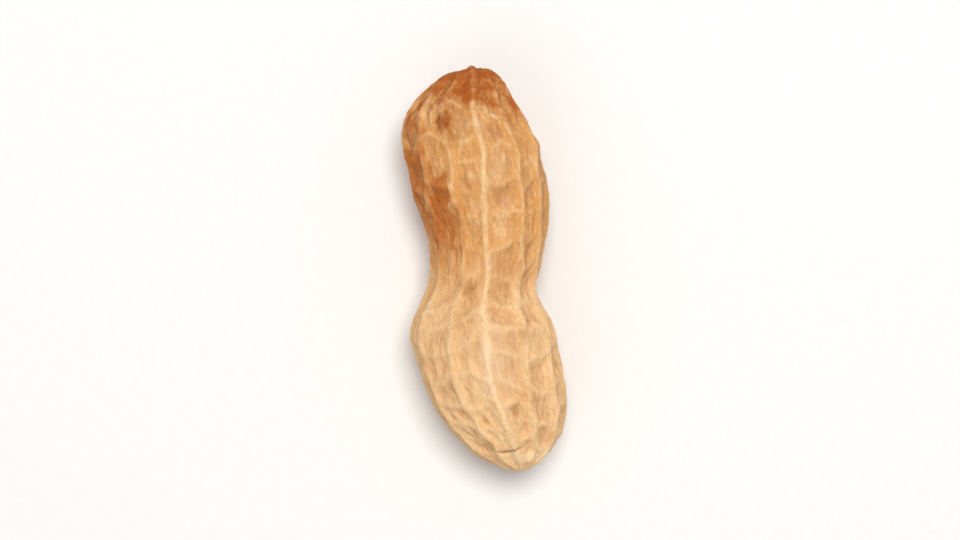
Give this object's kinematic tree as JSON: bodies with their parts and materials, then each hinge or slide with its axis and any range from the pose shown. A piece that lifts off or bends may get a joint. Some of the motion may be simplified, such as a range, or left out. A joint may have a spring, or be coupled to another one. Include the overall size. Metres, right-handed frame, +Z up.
{
  "type": "peanut in its shell",
  "caption": "Dry two-seeded peanut pod lying on its lobes, with a waist, long raised veins, a netted shell, a peg scar and a blunt beak.",
  "frame": {"origin": "on the table, under the middle of the pod's box", "axes": "+X from the stem end to the beak, +Z up through the upper suture"},
  "size_m": [0.0414, 0.016, 0.014],
  "materials": {
    "shell": "matt, dry and fibrous"
  },
  "bodies": {
    "root": {"pod": "shell"}
  },
  "joints": []
}
